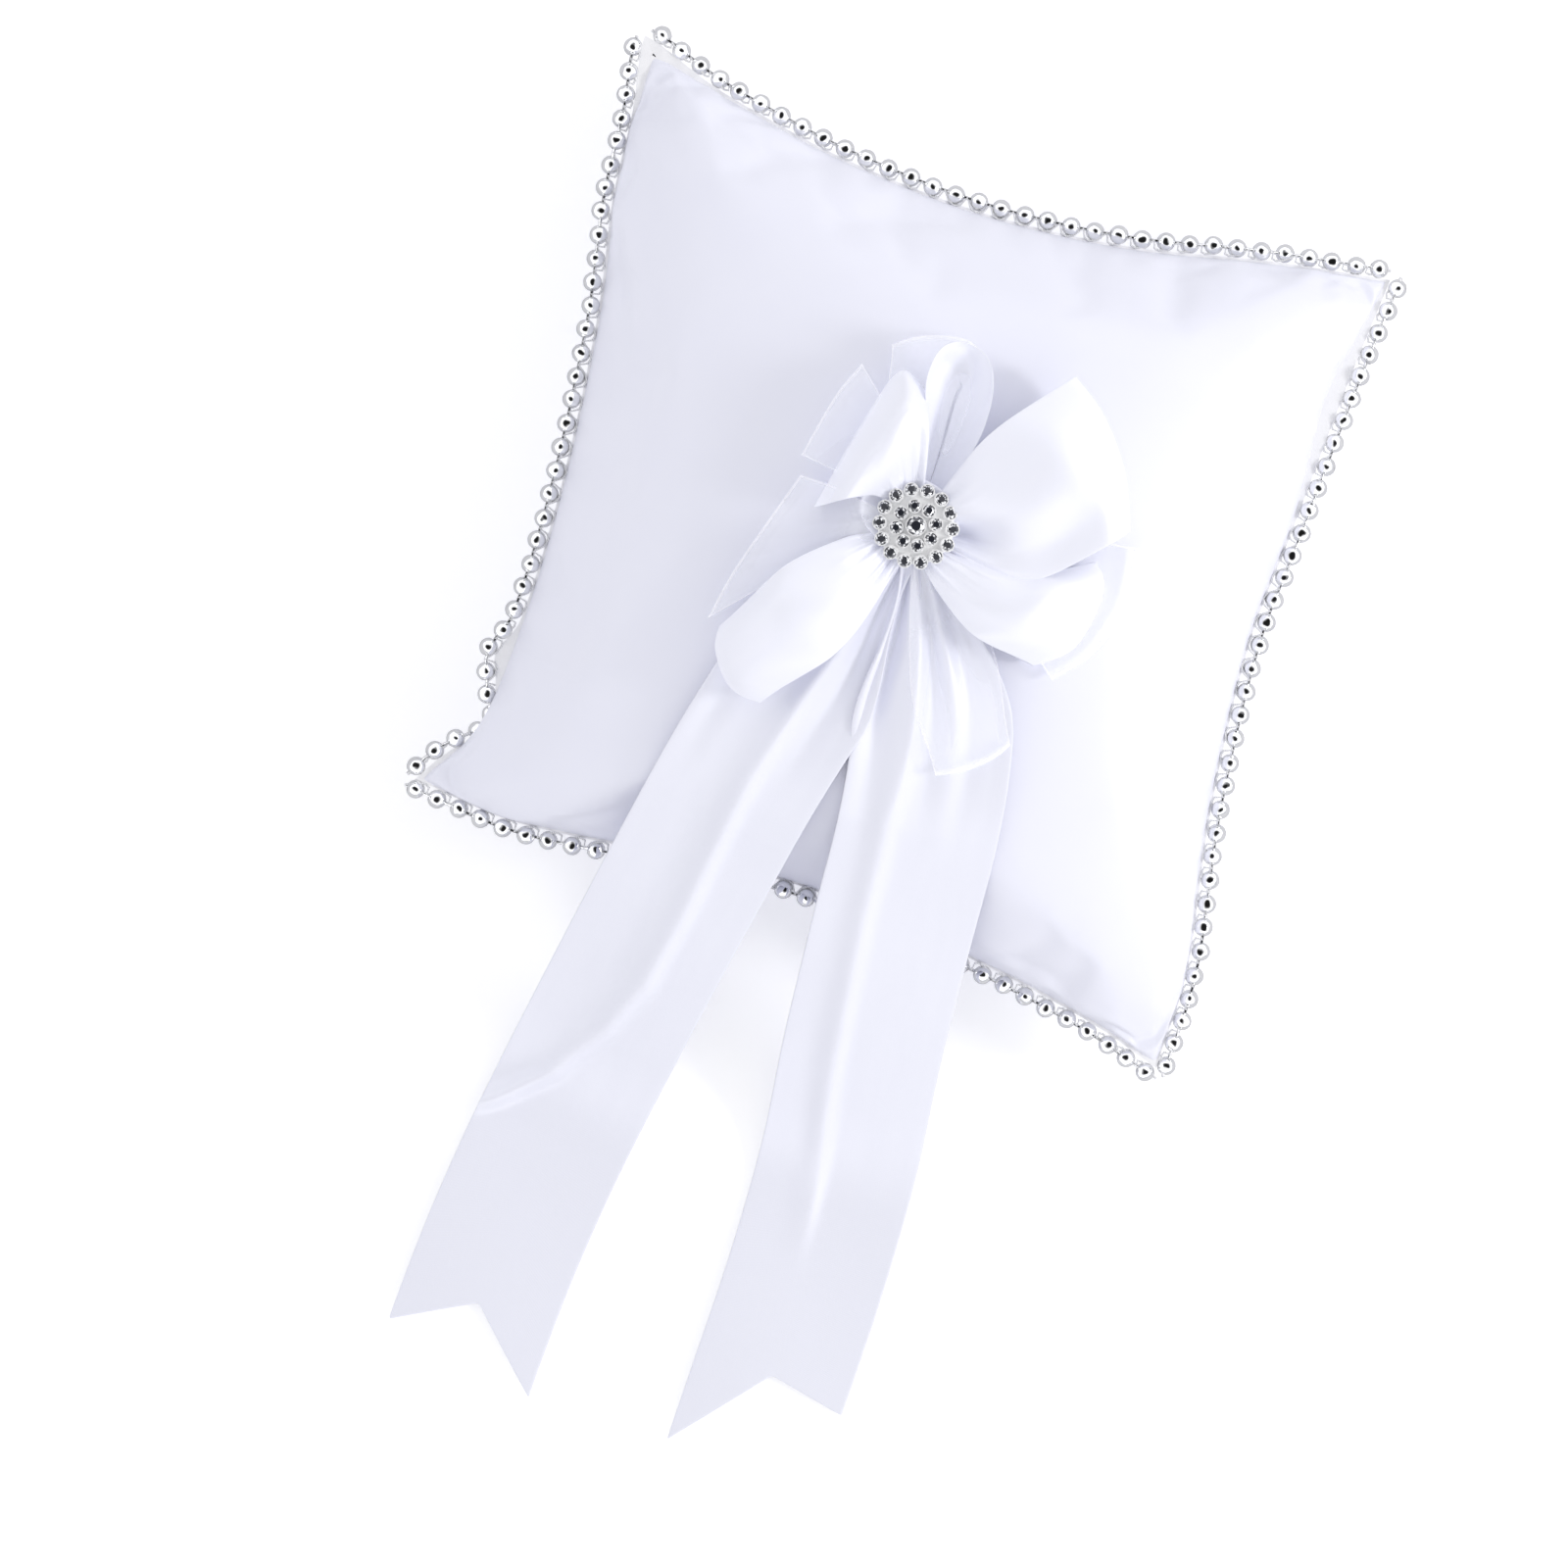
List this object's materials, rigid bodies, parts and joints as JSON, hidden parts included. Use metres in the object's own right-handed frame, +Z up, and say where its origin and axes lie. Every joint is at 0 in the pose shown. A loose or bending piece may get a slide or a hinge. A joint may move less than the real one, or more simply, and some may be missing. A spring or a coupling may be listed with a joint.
{
  "type": "ring bearer pillow",
  "caption": "Square white satin cushion with a beaded edge and a ribbon bow with long tails under a rhinestone button, carried with the wedding rings tied to it.",
  "frame": {"origin": "middle of the flat patch that the pillow's back presses on the table, so the table is at z = 0", "axes": "+Z up out of the side that carries the bow, +Y towards the pillow's top edge with the tails running along -Y, +X to the right for someone who looks down at the bow"},
  "size_m": [0.2091, 0.3365, 0.0993],
  "materials": {
    "white_satin": "satin",
    "white_organza": "sheer",
    "polyester_fibre": "matt",
    "cotton_tape": "matt",
    "white_thread": "matt",
    "silver_beads": "polished",
    "silver_plate": "polished",
    "clear_rhinestone": "polished"
  },
  "bodies": {
    "pillow": {"back_panel": "white_satin", "bead_string_bottom": "silver_beads", "bead_string_left": "silver_beads", "bead_string_right": "silver_beads", "bead_string_top": "silver_beads", "button_base": "silver_plate", "button_shank": "silver_plate", "centre_stone": "clear_rhinestone", "fibre_filling": "polyester_fibre", "front_panel": "white_satin", "gather_thread": "white_thread", "knot_wrap": "white_satin", "left_tail_root": "white_satin", "middle_stone_01": "clear_rhinestone", "middle_stone_02": "clear_rhinestone", "middle_stone_03": "clear_rhinestone", "middle_stone_04": "clear_rhinestone", "middle_stone_05": "clear_rhinestone", "middle_stone_06": "clear_rhinestone", "middle_stone_07": "clear_rhinestone", "middle_stone_08": "clear_rhinestone", "organza_loop_left": "white_organza", "organza_loop_lower_right": "white_organza", "organza_loop_right": "white_organza", "organza_loop_top": "white_organza", "organza_loop_upper_left": "white_organza", "outer_stone_01": "clear_rhinestone", "outer_stone_02": "clear_rhinestone", "outer_stone_03": "clear_rhinestone", "outer_stone_04": "clear_rhinestone", "outer_stone_05": "clear_rhinestone", "outer_stone_06": "clear_rhinestone", "outer_stone_07": "clear_rhinestone", "outer_stone_08": "clear_rhinestone", "outer_stone_09": "clear_rhinestone", "outer_stone_10": "clear_rhinestone", "outer_stone_11": "clear_rhinestone", "outer_stone_12": "clear_rhinestone", "outer_stone_13": "clear_rhinestone", "outer_stone_14": "clear_rhinestone", "right_tail_root": "white_satin", "satin_loop_lower_left": "white_satin", "satin_loop_lower_right": "white_satin", "satin_loop_top": "white_satin", "satin_loop_upper_left": "white_satin", "satin_loop_upper_right": "white_satin", "seam_tape": "cotton_tape"},
    "left_tail": {"left_tail": "white_satin"},
    "right_tail": {"right_tail": "white_satin"}
  },
  "joints": [
    {"name": "left_tail_lift", "type": "hinge", "parent": "pillow", "child": "left_tail", "pos_m": [-0.02014, -0.06766, 0.05528], "axis": [-0.9767, 0.2144, 0], "range_deg": [0, 100]},
    {"name": "right_tail_lift", "type": "hinge", "parent": "pillow", "child": "right_tail", "pos_m": [0.02523, -0.06639, 0.05577], "axis": [-0.9932, -0.1165, 0], "range_deg": [0, 100]}
  ]
}
